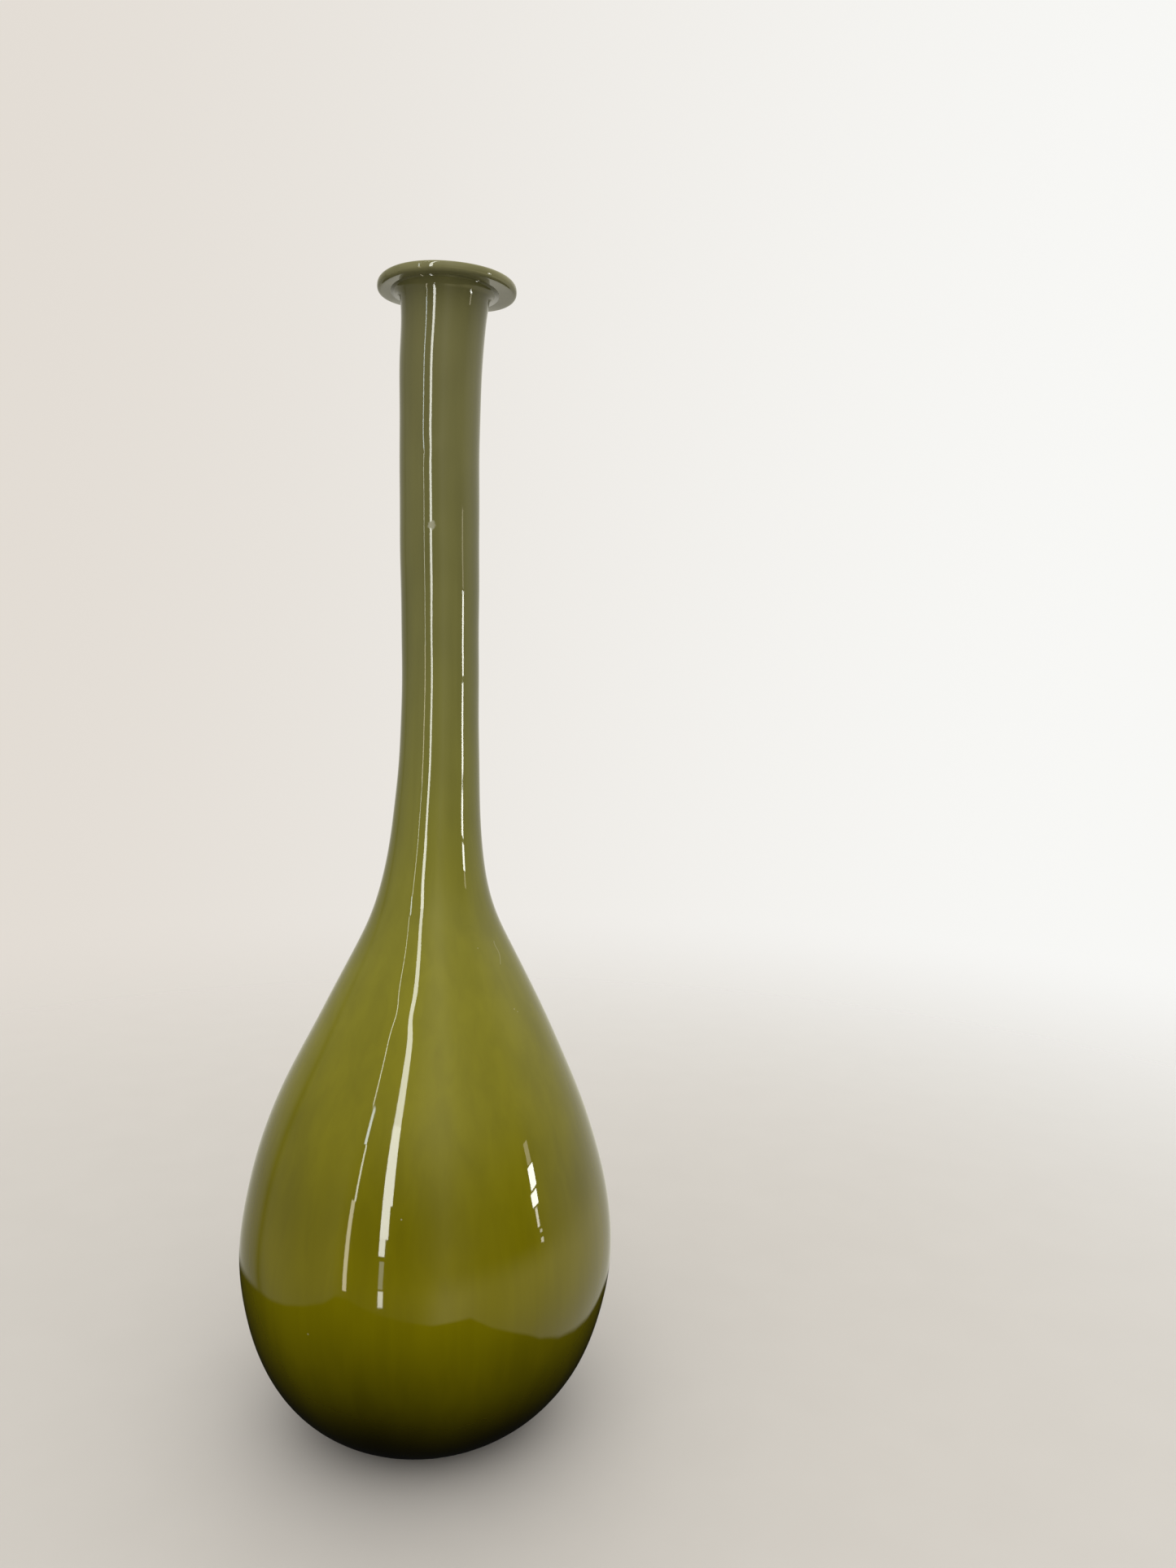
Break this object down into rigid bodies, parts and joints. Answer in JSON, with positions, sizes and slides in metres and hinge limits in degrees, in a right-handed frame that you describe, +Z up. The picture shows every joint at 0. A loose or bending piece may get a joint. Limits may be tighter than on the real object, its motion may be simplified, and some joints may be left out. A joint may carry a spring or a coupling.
{
  "type": "bottle vase",
  "caption": "Tall free blown bottle vase in cased glass: teardrop body, long slim neck and a flat disc lip round an open mouth.",
  "frame": {"origin": "centre of the flat ring that the vase stands on, at the bottom of its box", "axes": "+Z up along the vase from the foot to the mouth; +X is the side the neck wanders towards"},
  "size_m": [0.1458, 0.1458, 0.4418],
  "materials": {
    "opal_glass": "opaque white opal glass, fire polished gloss",
    "olive_glass": "olive green glass over opal, opaque to the eye, fire polished gloss",
    "olive_lip_glass": "darker olive green glass, fire polished gloss"
  },
  "bodies": {
    "root": {"opal_lining": "opal_glass", "olive_casing": "olive_glass", "olive_lip": "olive_lip_glass"}
  },
  "joints": []
}
